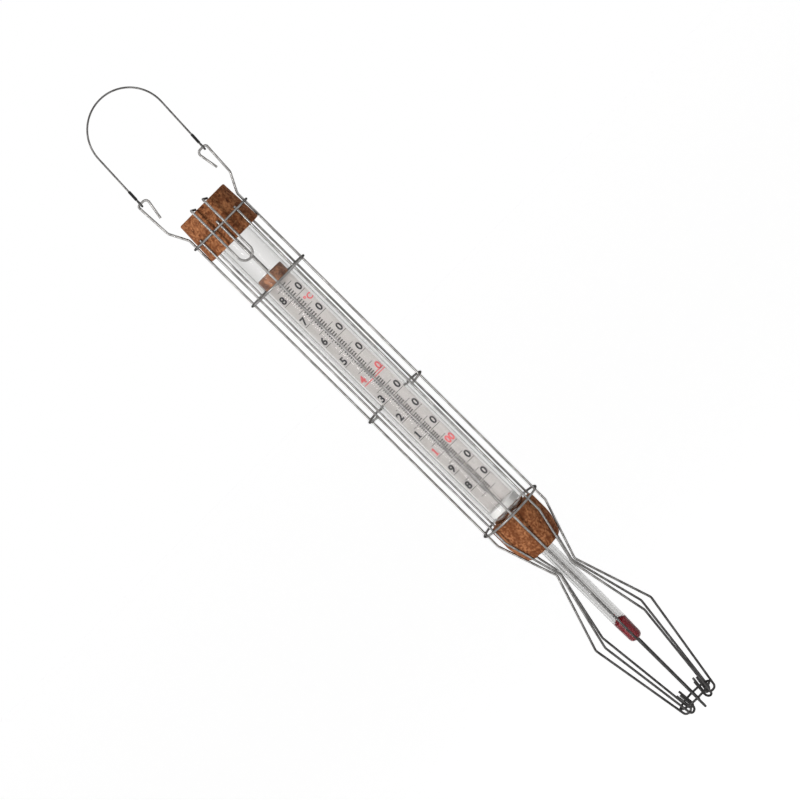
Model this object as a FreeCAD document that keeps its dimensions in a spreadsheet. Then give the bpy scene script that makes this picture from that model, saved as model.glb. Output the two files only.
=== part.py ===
import FreeCAD, Part
import math
import os
import Sketcher
from FreeCAD import Placement, Rotation, Vector

# Caged sugar thermometer, modelled hanging upright: +Z up, scale facing -Y.
# The origin lies on the cage's own axis, at the underside of the bail's crown.
# Pieces of the cage are drawn hanging down from the hook crowns: in their own frame Z is
# the depth below the crowns and +Y is the front, and their Placement turns them over.

# Driving dimensions in millimetres. A "depth" is measured down from the hook crowns, and a
# "drop" or "rise" from the piece that the name says.
SIZES = {
    # hanging bail
    "bail_clearance": 1.9,      # between the bail's legs and the rings that they swing past
    "bail_leg": 27.3,           # eye to the start of the round crown
    "bail_wire": 0.85,
    "eye_play": 0.4,            # all round the hook wire inside the eye
    "eye_flat": 0.15,           # short straight at the foot of the eye
    "eye_shoulder": 0.75,       # height at which the eye starts to close in
    "eye_neck": 2.1,            # height at which the two strands lie side by side
    "eye_neck_bend": 0.8,
    "strand_gap": 0.1,          # between the leg and its turned-back end
    "sleeve_start": 2.5,        # sleeve's foot above the hinge axis
    "sleeve_length": 5.0,
    "sleeve_wall": 0.2,
    "hook_step": 1.8,           # the left hook stands this much taller than the right
    # hooks on the two side wires
    "hook_outside": 1.6,        # outer leg beyond the bail's eye
    "hook_inside": 3.9,         # inner leg short of the bail's eye
    "hook_outer_bend": 1.1,
    "hook_inner_bend": 1.8,
    "hook_end_depth": 10.8,
    "hook_end_lean": 1.9,
    "neck_lean": 0.9,           # outer leg closes in by this much down to the neck
    "neck_top_rise": 1.5,       # neck starts above the upper cork
    "neck_foot_drop": 7.5,      # neck ends below the upper cork's top
    "neck_bend": 4.0,
    # cage wires
    "cage_wire": 1.1,
    "cage_radius": 15.1,        # wire centres, over the straight part
    "wire_end_drop": 10.5,      # upper ends of the plain wires below the upper cork's top
    "front_rise": 1.0,          # the front wire is longer: it stands this much higher
    "front_drop": 1.5,          # and reaches this much lower
    "taper_drop": 6.9,          # below the jacket's foot the wires start to close in
    "waist_drop": 28.4,         # below the start of the taper
    "waist_gap": 1.6,           # between the stem and the wires at the waist
    "bulge_drop": 36.9,         # below the waist
    "bulge_radius": 17.5,
    "tip_drop": 50.1,           # below the bulge
    "tip_radius": 9.3,
    "tip_span": 4.3,            # width of the turned-in foot
    "tip_bend": 2.0,
    "return_rise": 9.4,
    "return_lean": 1.3,
    "cage_bend": 3.0,
    "wire_end_round": 0.2,
    # rings
    "weld_sink": 0.06,          # wires run into each other by this much at a weld
    "ring_top_drop": 1.6,       # below the plain wires' upper ends
    "ring_upper_drop": 0.1,     # below the inner cork
    "ring_middle_drop": 74.0,   # below the ring above it
    "ring_lower_rise": 0.5,     # above the jacket's foot
    "tip_ring_rise": 3.9,       # above the wires' turned-in feet
    "ring_overrun": 0.55,       # an open ring's ends run past the middle of their last wire
    # spring clip over the upper cork
    "clip_wire": 1.1,
    "clip_reach": 3.65,
    "clip_drop": 19.6,          # foot of the loop below the top ring
    "clip_bend": 1.5,
    "clip_tail": 20.0,          # length bent back over the cork
    "clip_lift": 1.0,           # its front bends stand this much higher than its tails' ends
    # corks
    "top_cork_depth": 18.7,
    "top_cork_length": 21.3,
    "top_cork_draft": 0.85,     # its upper end is this much smaller than the cage's inside
    "cork_squeeze": 0.05,       # wires press into a cork by this much
    "cork_edge": 0.7,
    "lower_cork_length": 22.2,
    "lower_cork_gap": 1.95,     # between its upper part and the wires
    "lower_cork_edge": 2.4,
    "lower_cork_barrel": 20.0,
    "inner_cork_drop": 21.0,    # below the upper cork's foot
    "inner_cork_length": 5.6,
    "inner_cork_gap": 1.25,     # between the disc and the jacket
    "inner_cork_edge": 0.4,
    # glass
    "jacket_radius": 9.25,
    "jacket_wall": 1.0,
    "jacket_entry": 8.0,        # length of jacket inside the upper cork
    "jacket_corner": 3.0,
    "stem_radius": 3.45,
    "stem_wall": 0.9,
    "stem_root": 1.5,           # fillet where the stem leaves the jacket
    "bulb_drop": 46.1,          # bulb's top below the lower cork
    "bulb_length": 13.2,
    "bulb_draft": 0.3,          # the bulb is this much slimmer at its foot
    "bulb_corner": 2.2,
    "bulb_wall": 0.5,
    "bulb_cone": 1.9,           # height of the cone under the capillary
    "capillary_radius": 1.2,
    "capillary_bore": 0.16,
    "capillary_stand": 0.8,     # stands above the inner cork
    "thread_height": 3.0,       # liquid standing in the bore above the bulb
    # scale
    "plate_clearance": 1.26,    # between the plate's back corners and the jacket
    "plate_thick": 0.9,
    "plate_gap": 0.05,          # between the capillary and the plate
    "plate_length": 141.3,
    "seat_thick": 3.6,
}

FRONT_TO_BACK = {"front": 273.5, "front_right": 315, "back_right": 45,
                 "back": 94, "back_left": 135, "front_left": 225}

doc = FreeCAD.newDocument("sugar_thermometer")
sheet = doc.addObject("Spreadsheet::Sheet", "dim")
for row, (alias, number) in enumerate(SIZES.items(), start=1):
    sheet.set("A%d" % row, alias)
    sheet.set("B%d" % row, str(number))
    sheet.setAlias("B%d" % row, alias)
doc.recompute()

# Expressions that more than one piece shares. Depths run down from the hook crowns.
CAGE_INSIDE = "(dim.cage_radius - dim.cage_wire / 2)"
RING_RADIUS = "(dim.cage_radius + dim.cage_wire - dim.weld_sink)"
BAIL_REACH = "(%s + (dim.cage_wire + dim.bail_wire) / 2 + dim.bail_clearance)" % RING_RADIUS
EYE_HALF_WIDTH = "((dim.cage_wire + dim.bail_wire) / 2 + dim.eye_play)"
STRAND = "((dim.bail_wire + dim.strand_gap) / 2)"
TILT = "(dim.hook_step / (2 * %s))" % BAIL_REACH
CROWN_DROP = "(dim.bail_leg / sqrt(1 + %s ^ 2) + %s - dim.bail_wire / 2)" % (TILT, BAIL_REACH)

TOP_CORK_FOOT = "(dim.top_cork_depth + dim.top_cork_length)"
INNER_CORK_TOP = "(%s + dim.inner_cork_drop)" % TOP_CORK_FOOT
PLATE_TOP = "(%s + dim.inner_cork_length)" % INNER_CORK_TOP
SEAT_TOP = "(%s + dim.plate_length)" % PLATE_TOP
SEAT_FOOT = "(%s + dim.seat_thick)" % SEAT_TOP
JACKET_FOOT = "(%s + dim.jacket_corner)" % SEAT_FOOT
LOWER_CORK_FOOT = "(%s + dim.lower_cork_length)" % JACKET_FOOT
BULB_TOP = "(%s + dim.bulb_drop)" % LOWER_CORK_FOOT
BULB_FOOT = "(%s + dim.bulb_length)" % BULB_TOP
JACKET_BORE = "(dim.jacket_radius - dim.jacket_wall)"

TAPER_DEPTH = "(%s + dim.taper_drop)" % JACKET_FOOT
WAIST_DEPTH = "(%s + dim.waist_drop)" % TAPER_DEPTH
WAIST_RADIUS = "(dim.stem_radius + dim.waist_gap + dim.cage_wire / 2)"
TAPER = "((dim.cage_radius - %s) / dim.waist_drop)" % WAIST_RADIUS
BULGE_DEPTH = "(%s + dim.bulge_drop)" % WAIST_DEPTH
TIP_DEPTH = "(%s + dim.tip_drop)" % BULGE_DEPTH
GUARD_TAPER = "((dim.bulge_radius - dim.tip_radius) / dim.tip_drop)"
TIP_RING_RADIUS = "(dim.tip_radius + dim.tip_ring_rise * %s - %s * sqrt(1 + %s ^ 2))" % (
    GUARD_TAPER, "(dim.cage_wire - dim.weld_sink)", GUARD_TAPER)
WIRE_END = "(dim.top_cork_depth + dim.wire_end_drop)"
RING_TOP = "(%s + dim.ring_top_drop)" % WIRE_END
RING_UPPER = "(%s + dim.ring_upper_drop)" % PLATE_TOP
RING_MIDDLE = "(%s + dim.ring_middle_drop)" % RING_UPPER
RING_LOWER = "(%s - dim.ring_lower_rise)" % JACKET_FOOT
CLIP_FRONT = "(%s + dim.cage_wire / 2 + dim.clip_wire / 2 - dim.weld_sink)" % RING_RADIUS
CLIP_TOP = "(dim.top_cork_depth - dim.clip_wire / 2)"

pieces = []


def value(expression):
    """Number that an expression on the sheet gives."""
    result = sheet.evalExpression(expression)
    return float(getattr(result, "Value", result))


def new_piece(label):
    """Empty body, listed for export under its label."""
    body = doc.addObject("PartDesign::Body", label)
    body.Label = label
    pieces.append(body)
    return body


def hang(body, turn=0):
    """Place a piece of the cage: turned over, then turned about the cage's axis."""
    over = Rotation(Vector(1, 0, 0), 180)
    around = Rotation(Vector(0, 0, 1), turn)
    body.Placement = Placement(Vector(), around * over)
    body.setExpression("Placement.Base.z", "-" + CROWN_DROP)


def lean(body):
    """Place a piece of the bail: its eyes on the hook crowns, so it leans with their step."""
    angle = math.degrees(math.atan(value(TILT)))
    body.Placement = Placement(Vector(), Rotation(Vector(0, 1, 0), angle))
    body.setExpression("Placement.Rotation.Angle", "atan%s" % TILT)
    body.setExpression("Placement.Base.z", "-" + CROWN_DROP)


def new_sketch(body, name, plane, offset=None):
    """Sketch on one of the body's own origin planes, moved along the plane's normal."""
    sketch = body.newObject("Sketcher::SketchObject", name)
    planes = [item for item in body.Origin.OriginFeatures if item.Role == plane]
    sketch.AttachmentSupport = (planes[0], [""])
    sketch.MapMode = "FlatFace"
    if offset:
        sketch.setExpression("AttachmentOffset.Base.z", offset)
    return sketch


def bind(sketch, constraint, expression):
    """Add a dimension and tie it to the sheet."""
    number = sketch.addConstraint(constraint)
    sketch.setExpression("Constraints[%d]" % number, expression)


def locate(sketch, geometry, end, across, along):
    """Hold a point at a place given by two expressions; "0" puts it on the sketch's axis."""
    for kind, axis, expression in (("DistanceX", -2, across), ("DistanceY", -1, along)):
        if expression == "0":
            sketch.addConstraint(Sketcher.Constraint("PointOnObject", geometry, end, axis))
        else:
            fixed = Sketcher.Constraint(kind, -1, 1, geometry, end, value(expression))
            bind(sketch, fixed, expression)


def draw_runs(sketch, corners, closed=False):
    """Straight runs through the corners (across, along, bend); a bend is a tangent arc."""
    points = [Vector(value(corner[0]), value(corner[1]), 0) for corner in corners]
    count = len(corners)
    runs = count if closed else count - 1
    arrive = [Vector(point) for point in points]
    leave = [Vector(point) for point in points]
    arcs = {}
    for i, corner in enumerate(corners):
        if len(corner) < 3:
            continue
        before = (points[i - 1] - points[i]).normalize()
        after = (points[(i + 1) % count] - points[i]).normalize()
        half_turn = (math.pi - before.getAngle(after)) / 2
        radius = value(corner[2])
        arrive[i] = points[i] + before * (radius * math.tan(half_turn))
        leave[i] = points[i] + after * (radius * math.tan(half_turn))
        centre = points[i] + (before + after).normalize() * (radius / math.cos(half_turn))
        leftward = before.cross(after).z < 0
        first, last = (arrive[i], leave[i]) if leftward else (leave[i], arrive[i])
        start = math.atan2(first.y - centre.y, first.x - centre.x)
        stop = math.atan2(last.y - centre.y, last.x - centre.x)
        if stop < start:
            stop += 2 * math.pi
        circle = Part.Circle(centre, Vector(0, 0, 1), radius)
        arcs[i] = (Part.ArcOfCircle(circle, start, stop), leftward, corner[2], radius)
    lines = []
    for i in range(runs):
        line = Part.LineSegment(leave[i], arrive[(i + 1) % count])
        lines.append(sketch.addGeometry(line))
    for i, corner in enumerate(corners):
        before = lines[i - 1] if closed or i > 0 else None
        after = lines[i] if i < runs else None
        if i in arcs:
            shape, leftward, bend, radius = arcs[i]
            arc = sketch.addGeometry(shape)
            first, last = (1, 2) if leftward else (2, 1)
            sketch.addConstraint(Sketcher.Constraint("Tangent", before, 2, arc, first))
            sketch.addConstraint(Sketcher.Constraint("Tangent", arc, last, after, 1))
            bind(sketch, Sketcher.Constraint("Radius", arc, radius), bend)
            point = sketch.addGeometry(Part.Point(points[i]), True)
            sketch.addConstraint(Sketcher.Constraint("PointOnObject", point, 1, before))
            sketch.addConstraint(Sketcher.Constraint("PointOnObject", point, 1, after))
            locate(sketch, point, 1, corner[0], corner[1])
        elif before is None:
            locate(sketch, after, 1, corner[0], corner[1])
        elif after is None:
            locate(sketch, before, 2, corner[0], corner[1])
        else:
            sketch.addConstraint(Sketcher.Constraint("Coincident", before, 2, after, 1))
            locate(sketch, after, 1, corner[0], corner[1])


def draw_loop(sketch, reach, leg_end, centre):
    """Two parallel legs from leg_end, joined by half a circle about the point centre."""
    half = value(reach)
    foot = value(leg_end)
    middle = value(centre)
    upward = middle > foot
    left = sketch.addGeometry(Part.LineSegment(Vector(-half, foot, 0), Vector(-half, middle, 0)))
    right = sketch.addGeometry(Part.LineSegment(Vector(half, middle, 0), Vector(half, foot, 0)))
    circle = Part.Circle(Vector(0, middle, 0), Vector(0, 0, 1), half)
    start, stop = (0, math.pi) if upward else (math.pi, 2 * math.pi)
    arc = sketch.addGeometry(Part.ArcOfCircle(circle, start, stop))
    first, last = (2, 1) if upward else (1, 2)
    sketch.addConstraint(Sketcher.Constraint("Tangent", left, 2, arc, first))
    sketch.addConstraint(Sketcher.Constraint("Tangent", arc, last, right, 1))
    sketch.addConstraint(Sketcher.Constraint("Vertical", left))
    sketch.addConstraint(Sketcher.Constraint("Vertical", right))
    sketch.addConstraint(Sketcher.Constraint("Horizontal", left, 1, right, 2))
    locate(sketch, arc, 3, "0", centre)
    locate(sketch, right, 2, reach, leg_end)


def bend_wire(body, name, path, thickness):
    """Round wire along a path sketch."""
    doc.recompute()
    section = body.newObject("Sketcher::SketchObject", name + "_section")
    section.AttachmentSupport = (path, ["Edge1"])
    section.MapMode = "NormalToEdge"
    circle = section.addGeometry(Part.Circle(Vector(), Vector(0, 0, 1), value(thickness) / 2))
    section.addConstraint(Sketcher.Constraint("Coincident", circle, 3, -1, 1))
    bind(section, Sketcher.Constraint("Diameter", circle, value(thickness)), thickness)
    pipe = body.newObject("PartDesign::AdditivePipe", name)
    pipe.Profile = section
    pipe.Spine = path
    return pipe


def round_ends(body, thickness):
    """Break the edge round each cut end of a wire."""
    doc.recompute()
    tip = body.Tip
    radius = value(thickness) / 2
    names = []
    for number, edge in enumerate(tip.Shape.Edges, start=1):
        if not isinstance(edge.Curve, Part.Circle) or abs(edge.Curve.Radius - radius) > 1e-6:
            continue
        flat = [face for face in tip.Shape.Faces
                if isinstance(face.Surface, Part.Plane)
                and any(edge.isSame(side) for side in face.Edges)]
        if flat:
            names.append("Edge%d" % number)
    rounding = body.newObject("PartDesign::Fillet", body.Label + "_ends")
    rounding.Base = (tip, names)
    rounding.setExpression("Radius", "dim.wire_end_round")


def turned(body, corners):
    """Solid of revolution about the body's own Z axis, from a closed half outline."""
    sketch = new_sketch(body, body.Label + "_outline", "XZ_Plane")
    draw_runs(sketch, corners, closed=True)
    revolution = body.newObject("PartDesign::Revolution", body.Label + "_turned")
    revolution.Profile = sketch
    revolution.ReferenceAxis = (sketch, ["V_Axis"])
    revolution.Angle = 360


def guard_run(longer="0"):
    """Lower part of every cage wire: taper, waist, bulge and turned-in foot."""
    foot_radius = "(dim.tip_radius - %s * %s)" % (longer, GUARD_TAPER)
    foot_depth = "(%s + %s)" % (TIP_DEPTH, longer)
    foot_inside = "(%s - dim.tip_span)" % foot_radius
    return [
        ("dim.cage_radius", TAPER_DEPTH, "dim.cage_bend"),
        (WAIST_RADIUS, WAIST_DEPTH, "dim.cage_bend"),
        ("dim.bulge_radius", BULGE_DEPTH, "dim.cage_bend"),
        (foot_radius, foot_depth, "dim.tip_bend"),
        (foot_inside, foot_depth, "dim.tip_bend"),
        (foot_inside + " + dim.return_lean", foot_depth + " - dim.return_rise"),
    ]


def make_cage_wire(label, turn, rise="0", drop="0"):
    """One of the six plain wires that run from above the top ring to the tip."""
    body = new_piece(label)
    path = new_sketch(body, label + "_path", "XZ_Plane")
    draw_runs(path, [("dim.cage_radius", "%s - %s" % (WIRE_END, rise))] + guard_run(drop))
    bend_wire(body, label + "_bent", path, "dim.cage_wire")
    round_ends(body, "dim.cage_wire")
    hang(body, turn)


def make_hook_wire(label, turn, crown):
    """Side wire that carries on up past the cork and ends in an open hook for the bail."""
    body = new_piece(label)
    path = new_sketch(body, label + "_path", "XZ_Plane")
    inner = "(%s - dim.hook_inside)" % BAIL_REACH
    outer = "(%s + dim.hook_outside)" % BAIL_REACH
    hook = [
        (inner + " + dim.hook_end_lean", "dim.hook_end_depth + " + crown),
        (inner, crown, "dim.hook_inner_bend"),
        (outer, crown, "dim.hook_outer_bend"),
        (outer + " - dim.neck_lean", "dim.top_cork_depth - dim.neck_top_rise", "dim.neck_bend"),
        ("dim.cage_radius", "dim.top_cork_depth + dim.neck_foot_drop", "dim.neck_bend"),
    ]
    draw_runs(path, hook + guard_run())
    bend_wire(body, label + "_bent", path, "dim.cage_wire")
    round_ends(body, "dim.cage_wire")
    hang(body, turn)


def make_ring(label, radius, depth, open_front=False):
    """Wire ring about the cage's axis, all the way round or left open before the scale."""
    body = new_piece(label)
    sketch = new_sketch(body, label + "_section", "XZ_Plane")
    centre = Vector(value(radius), value(depth), 0)
    circle = sketch.addGeometry(Part.Circle(centre, Vector(0, 0, 1), value("dim.cage_wire / 2")))
    bind(sketch, Sketcher.Constraint("Diameter", circle, value("dim.cage_wire")), "dim.cage_wire")
    locate(sketch, circle, 3, radius, depth)
    revolution = body.newObject("PartDesign::Revolution", label + "_turned")
    revolution.Profile = sketch
    revolution.ReferenceAxis = (sketch, ["V_Axis"])
    if not open_front:
        revolution.Angle = 360
        hang(body)
        return
    closed_span = 360 - FRONT_TO_BACK["front_right"] + FRONT_TO_BACK["front_left"]
    overrun = "2 * atan(dim.ring_overrun / %s)" % radius
    revolution.Midplane = True
    revolution.setExpression("Angle", "%d deg + %s" % (closed_span, overrun))
    round_ends(body, "dim.cage_wire")
    hang(body, 90)


def make_bail():
    """One wire: round crown, two legs, and at each foot an eye turned back up the leg."""
    body = new_piece("bail_wire")
    leg_end = "dim.sleeve_start + dim.sleeve_length"
    corner = "(%s - dim.eye_flat / 2)" % EYE_HALF_WIDTH
    crown = new_sketch(body, "crown_path", "XZ_Plane", STRAND)
    draw_loop(crown, BAIL_REACH, leg_end, "dim.bail_leg")
    bend_wire(body, "crown_bent", crown, "dim.bail_wire")
    for side, reach in (("left", "-" + BAIL_REACH), ("right", BAIL_REACH)):
        eye = new_sketch(body, "eye_path_" + side, "YZ_Plane", reach)
        draw_runs(eye, [
            ("-" + STRAND, leg_end),
            ("-" + STRAND, "dim.eye_neck", "dim.eye_neck_bend"),
            ("-" + EYE_HALF_WIDTH, "dim.eye_shoulder", "dim.eye_neck_bend"),
            ("-" + EYE_HALF_WIDTH, "-" + EYE_HALF_WIDTH, corner),
            (EYE_HALF_WIDTH, "-" + EYE_HALF_WIDTH, corner),
            (EYE_HALF_WIDTH, "dim.eye_shoulder", "dim.eye_neck_bend"),
            (STRAND, "dim.eye_neck", "dim.eye_neck_bend"),
            (STRAND, leg_end + " - dim.bail_wire"),
        ])
        bend_wire(body, "eye_bent_" + side, eye, "dim.bail_wire")
    lean(body)


def draw_oval(sketch, half_length, radius):
    """Oval of two half circles, long way along the sketch's second axis."""
    half = value(half_length)
    bend = value(radius)
    upper = Part.ArcOfCircle(Part.Circle(Vector(0, half, 0), Vector(0, 0, 1), bend), 0, math.pi)
    lower = Part.ArcOfCircle(Part.Circle(Vector(0, -half, 0), Vector(0, 0, 1), bend),
                             math.pi, 2 * math.pi)
    top = sketch.addGeometry(upper)
    foot = sketch.addGeometry(lower)
    left = sketch.addGeometry(Part.LineSegment(Vector(-bend, half, 0), Vector(-bend, -half, 0)))
    right = sketch.addGeometry(Part.LineSegment(Vector(bend, -half, 0), Vector(bend, half, 0)))
    sketch.addConstraint(Sketcher.Constraint("Tangent", top, 2, left, 1))
    sketch.addConstraint(Sketcher.Constraint("Tangent", left, 2, foot, 1))
    sketch.addConstraint(Sketcher.Constraint("Tangent", foot, 2, right, 1))
    sketch.addConstraint(Sketcher.Constraint("Tangent", right, 2, top, 1))
    sketch.addConstraint(Sketcher.Constraint("Vertical", left))
    bind(sketch, Sketcher.Constraint("Radius", top, bend), radius)
    locate(sketch, top, 3, "0", half_length)
    locate(sketch, foot, 3, "0", "-" + half_length)


def make_sleeve(label, reach):
    """Oval black sleeve over the leg and its turned-back end."""
    body = new_piece(label)
    sketch = new_sketch(body, label + "_section", "XY_Plane", "dim.sleeve_start")
    draw_oval(sketch, STRAND, "(dim.bail_wire / 2 + dim.sleeve_wall)")
    draw_oval(sketch, STRAND, "(dim.bail_wire / 2)")
    sketch.setExpression("AttachmentOffset.Base.x", reach)
    pad = body.newObject("PartDesign::Pad", label + "_length")
    pad.Profile = sketch
    pad.setExpression("Length", "dim.sleeve_length")
    lean(body)


def make_clip():
    """Spring wire: a loop in front of the top ring, its two tails bent back over the cork."""
    body = new_piece("cork_clip")
    leg_top = "(%s + 2 * dim.clip_bend)" % CLIP_TOP
    tail_end = "(%s + dim.cork_squeeze)" % CLIP_TOP
    loop = new_sketch(body, "clip_loop_path", "XZ_Plane", "-" + CLIP_FRONT)
    draw_loop(loop, "dim.clip_reach", leg_top, RING_TOP + " + dim.clip_drop - dim.clip_reach")
    bend_wire(body, "clip_loop", loop, "dim.clip_wire")
    for side, reach in (("left", "-dim.clip_reach"), ("right", "dim.clip_reach")):
        tail = new_sketch(body, "clip_tail_path_" + side, "YZ_Plane", reach)
        draw_runs(tail, [
            (CLIP_FRONT, leg_top),
            (CLIP_FRONT, "%s - dim.clip_lift" % tail_end, "dim.clip_bend"),
            (CLIP_FRONT + " - dim.clip_tail", tail_end),
        ])
        bend_wire(body, "clip_tail_" + side, tail, "dim.clip_wire")
    round_ends(body, "dim.clip_wire")
    hang(body)


def make_corks():
    """Upper cork on the jacket's mouth, lower cork wedged in the taper, inner cork disc."""
    top = new_piece("top_cork")
    socket = TOP_CORK_FOOT + " - dim.jacket_entry"
    turned(top, [
        ("0", "dim.top_cork_depth"),
        (CAGE_INSIDE + " - dim.top_cork_draft", "dim.top_cork_depth", "dim.cork_edge"),
        (CAGE_INSIDE + " + dim.cork_squeeze", TOP_CORK_FOOT, "dim.cork_edge"),
        ("dim.jacket_radius", TOP_CORK_FOOT),
        ("dim.jacket_radius", socket),
        ("0", socket),
    ])
    hang(top)

    lower = new_piece("lower_cork")
    wire_inset = "((dim.cage_wire / 2 - dim.cork_squeeze) * sqrt(1 + %s ^ 2))" % TAPER
    foot_radius = "(dim.cage_radius - (%s - %s) * %s - %s)" % (
        LOWER_CORK_FOOT, TAPER_DEPTH, TAPER, wire_inset)
    radius = "(%s - dim.lower_cork_gap)" % CAGE_INSIDE
    barrel_depth = "(%s + (dim.cage_radius - %s - %s) / %s)" % (
        TAPER_DEPTH, wire_inset, radius, TAPER)
    turned(lower, [
        ("dim.stem_radius", JACKET_FOOT),
        (radius, JACKET_FOOT, "dim.cork_edge"),
        (radius, barrel_depth, "dim.lower_cork_barrel"),
        (foot_radius, LOWER_CORK_FOOT, "dim.lower_cork_edge"),
        ("dim.stem_radius", LOWER_CORK_FOOT),
    ])
    hang(lower)

    inner = new_piece("inner_cork")
    radius = "(%s - dim.inner_cork_gap)" % JACKET_BORE
    turned(inner, [
        ("dim.capillary_radius", INNER_CORK_TOP),
        (radius, INNER_CORK_TOP, "dim.inner_cork_edge"),
        (radius, PLATE_TOP, "dim.inner_cork_edge"),
        ("dim.capillary_radius", PLATE_TOP),
    ])
    hang(inner)


def make_glass():
    """Jacket drawn down to the stem, capillary tube, and the bulb closing the stem."""
    jacket = new_piece("jacket_glass")
    mouth = TOP_CORK_FOOT + " - dim.jacket_entry"
    stem_bore = "(dim.stem_radius - dim.stem_wall)"
    floor = "(%s - dim.jacket_wall)" % JACKET_FOOT
    turned(jacket, [
        (JACKET_BORE, mouth),
        ("dim.jacket_radius", mouth),
        ("dim.jacket_radius", JACKET_FOOT, "dim.jacket_corner"),
        ("dim.stem_radius", JACKET_FOOT),
        ("dim.stem_radius", BULB_TOP),
        (stem_bore, BULB_TOP),
        (stem_bore, floor, "dim.stem_root"),
        (JACKET_BORE, floor, "dim.jacket_corner - dim.jacket_wall"),
    ])
    hang(jacket)

    capillary = new_piece("capillary_tube")
    top = INNER_CORK_TOP + " - dim.capillary_stand"
    turned(capillary, [
        ("dim.capillary_bore", top),
        ("dim.capillary_radius", top),
        ("dim.capillary_radius", BULB_TOP),
        ("dim.capillary_bore", BULB_TOP),
    ])
    hang(capillary)

    cone_foot = "(%s + dim.bulb_cone)" % BULB_TOP
    inside = "(dim.stem_radius - dim.bulb_wall)"
    foot_radius = "(dim.stem_radius - dim.bulb_draft)"
    inside_foot = "(%s - dim.bulb_wall)" % foot_radius
    floor = "(%s - dim.bulb_wall)" % BULB_FOOT
    corner = "(dim.bulb_corner - dim.bulb_wall)"
    bulb = new_piece("bulb_glass")
    turned(bulb, [
        ("dim.capillary_bore", BULB_TOP),
        ("dim.stem_radius", BULB_TOP),
        (foot_radius, BULB_FOOT, "dim.bulb_corner"),
        ("0", BULB_FOOT),
        ("0", floor),
        (inside_foot, floor, corner),
        (inside, cone_foot),
    ])
    hang(bulb)

    liquid = new_piece("bulb_liquid")
    turned(liquid, [
        ("0", BULB_TOP),
        ("dim.capillary_bore", BULB_TOP),
        (inside, cone_foot),
        (inside_foot, floor, corner),
        ("0", floor),
    ])
    hang(liquid)

    thread = new_piece("liquid_thread")
    turned(thread, [
        ("0", BULB_TOP + " - dim.thread_height"),
        ("dim.capillary_bore", BULB_TOP + " - dim.thread_height"),
        ("dim.capillary_bore", BULB_TOP),
        ("0", BULB_TOP),
    ])
    hang(thread)


def make_scale():
    """Printed plate behind the capillary, standing on a pad in the foot of the jacket."""
    plate = new_piece("scale_plate")
    sketch = new_sketch(plate, "plate_section", "XY_Plane", PLATE_TOP)
    front = "(-dim.capillary_radius - dim.plate_gap)"
    back = "(%s - dim.plate_thick)" % front
    half = "sqrt((%s - dim.plate_clearance) ^ 2 - %s ^ 2)" % (JACKET_BORE, back)
    draw_runs(sketch, [("-" + half, back), (half, back), (half, front), ("-" + half, front)],
              closed=True)
    pad = plate.newObject("PartDesign::Pad", "plate_length")
    pad.Profile = sketch
    pad.setExpression("Length", "dim.plate_length")
    hang(plate)

    seat = new_piece("scale_seat")
    turned(seat, [
        ("dim.capillary_radius", SEAT_TOP),
        (JACKET_BORE, SEAT_TOP),
        (JACKET_BORE, SEAT_FOOT),
        ("dim.capillary_radius", SEAT_FOOT),
    ])
    hang(seat)


make_bail()
make_sleeve("bail_sleeve_left", "-" + BAIL_REACH)
make_sleeve("bail_sleeve_right", BAIL_REACH)
make_hook_wire("hook_wire_left", 180, "-dim.hook_step / 2")
make_hook_wire("hook_wire_right", 0, "dim.hook_step / 2")
for place, turn in FRONT_TO_BACK.items():
    longer = ("dim.front_rise", "dim.front_drop") if place == "front" else ("0", "0")
    make_cage_wire("cage_wire_" + place, turn, *longer)
make_ring("ring_top", RING_RADIUS, RING_TOP)
make_ring("ring_upper", RING_RADIUS, RING_UPPER)
make_ring("ring_middle", RING_RADIUS, RING_MIDDLE, open_front=True)
make_ring("ring_lower", RING_RADIUS, RING_LOWER)
make_ring("tip_ring", TIP_RING_RADIUS, TIP_DEPTH + " - dim.tip_ring_rise")
make_clip()
make_corks()
make_glass()
make_scale()
doc.recompute()

for item in doc.Objects:
    if "Invalid" in item.State or "Error" in item.State:
        raise RuntimeError("%s did not build: %s" % (item.Label, item.State))
    if item.isDerivedFrom("Sketcher::SketchObject") and not item.FullyConstrained:
        raise RuntimeError("%s is not fully constrained" % item.Label)
os.makedirs("parts", exist_ok=True)
for body in pieces:
    shape = body.Shape
    if shape.isNull() or not shape.isValid() or len(shape.Solids) != 1:
        raise RuntimeError("%s is not one valid solid" % body.Label)
for body in pieces:
    body.Shape.exportStep("parts/%s.step" % body.Label)
    box = body.Shape.BoundBox
    print("%-24s volume %9.2f  z %8.2f to %8.2f" % (body.Label, body.Shape.Volume, box.ZMin, box.ZMax))
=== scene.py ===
import math

import bmesh
import bpy
from bpy.props import FloatProperty, FloatVectorProperty, IntProperty, PointerProperty
from mathutils import Matrix, Vector, noise


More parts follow.
